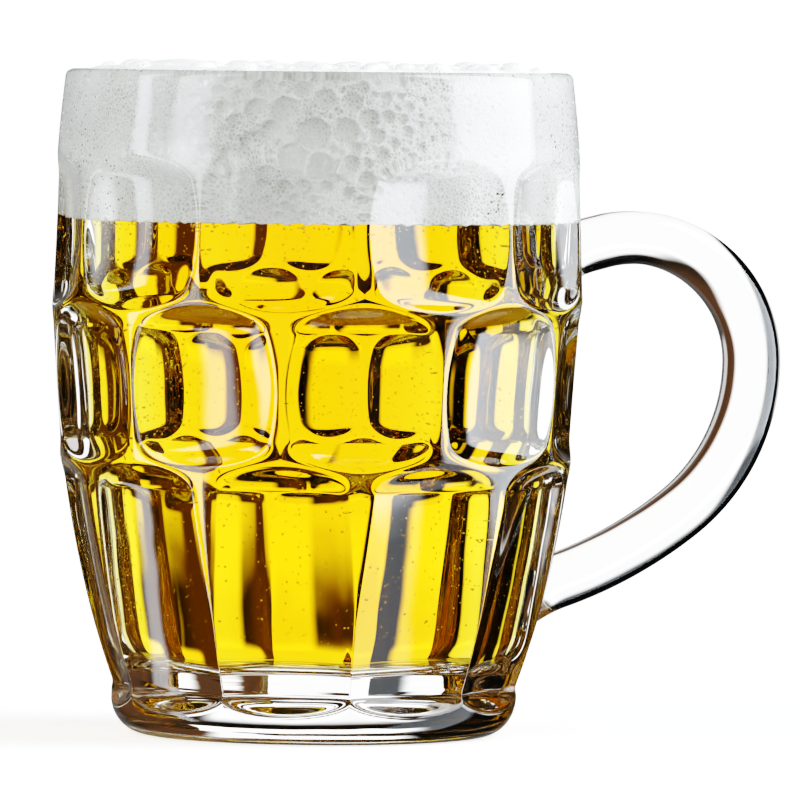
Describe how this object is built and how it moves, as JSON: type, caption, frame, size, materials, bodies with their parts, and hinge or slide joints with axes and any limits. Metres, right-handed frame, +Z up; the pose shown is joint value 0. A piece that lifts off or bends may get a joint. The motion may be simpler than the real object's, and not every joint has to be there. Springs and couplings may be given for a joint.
{
  "type": "dimpled glass beer mug",
  "caption": "Barrel-shaped clear glass beer mug with staggered rows of scooped dimples over tall flutes, a looped side handle, and a pour of golden beer under a foam head.",
  "frame": {"origin": "on the bowl's axis, in the plane of the ring that the mug stands on", "axes": "+Z up along the bowl's axis, +X out along the handle, -Y the side seen in the picture"},
  "size_m": [0.1401, 0.1012, 0.128],
  "materials": {
    "glass": "clear fire-polished soda-lime glass",
    "beer": "clear golden lager, wet",
    "foam": "matt off-white bubbles"
  },
  "bodies": {
    "root": {"bowl": "glass", "handle": "glass", "beer": "beer", "foam_head": "foam"}
  },
  "joints": []
}
